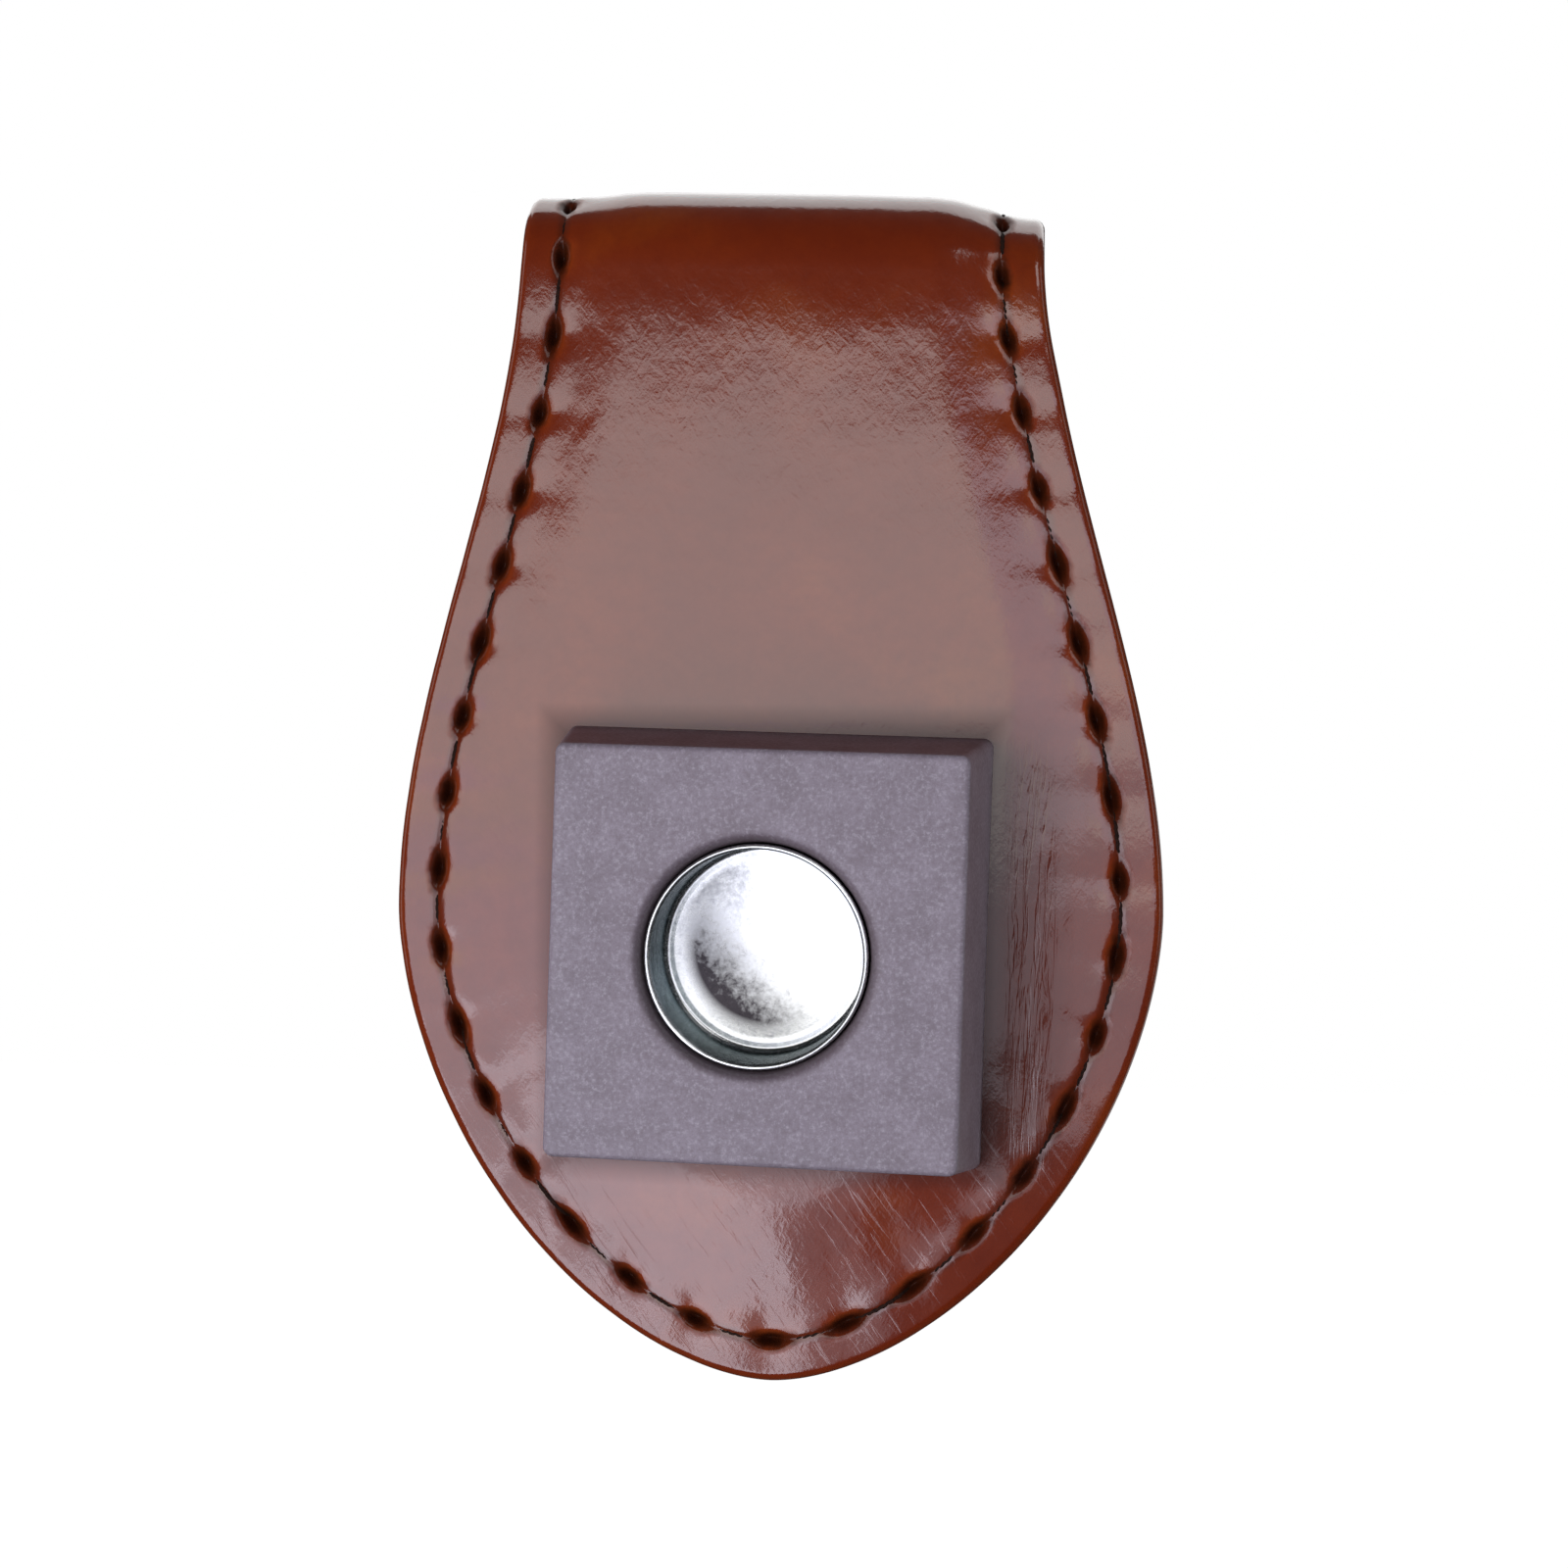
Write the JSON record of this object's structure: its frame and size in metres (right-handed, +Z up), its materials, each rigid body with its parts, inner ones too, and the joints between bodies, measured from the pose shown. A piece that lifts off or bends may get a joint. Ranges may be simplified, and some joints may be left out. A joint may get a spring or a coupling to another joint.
{
  "type": "folded leather clip holder",
  "caption": "Folded padded leather clip with a seam all round and a square moulded seat block whose round bore holds a drawn metal cup; the back flap swings open at the fold.",
  "frame": {"origin": "inside top of the fold, midway across, where a belt's or strap's upper edge bears", "axes": "+Z up along the flaps, -Y out of the seat on the front flap, +X to the right seen from the front"},
  "size_m": [0.044, 0.0201, 0.0692],
  "materials": {
    "leather": "glossy finished brown leather",
    "padding": "thin felt padding",
    "lining": "matt brown lining",
    "thread": "dark bonded thread",
    "block": "fine sparkling satin",
    "nickel": "bright nickel plate",
    "steel": "plain steel"
  },
  "bodies": {
    "front": {"front_leather": "leather", "front_padding": "padding", "front_lining": "lining", "front_thread": "thread", "front_bobbin_thread": "thread", "front_magnet": "nickel", "seat_block": "block", "socket_cup": "nickel", "cup_rivet": "steel", "rivet_washer": "steel", "fold_leather": "leather", "fold_padding": "padding", "fold_lining": "lining", "fold_thread_left": "thread", "fold_thread_right": "thread", "fold_bobbin_thread_left": "thread", "fold_bobbin_thread_right": "thread"},
    "back": {"back_leather": "leather", "back_padding": "padding", "back_lining": "lining", "back_thread": "thread", "back_bobbin_thread": "thread", "back_magnet": "nickel"}
  },
  "joints": [
    {"name": "clip_open", "type": "hinge", "parent": "front", "child": "back", "pos_m": [0, 0, -0.0025], "axis": [1, 0, 0], "range_deg": [-3.7, 40], "stiffness_Nm_per_rad": 0.05, "deforming": ["fold_leather", "fold_padding", "fold_lining", "fold_thread_left", "fold_thread_right", "fold_bobbin_thread_left", "fold_bobbin_thread_right"]}
  ]
}
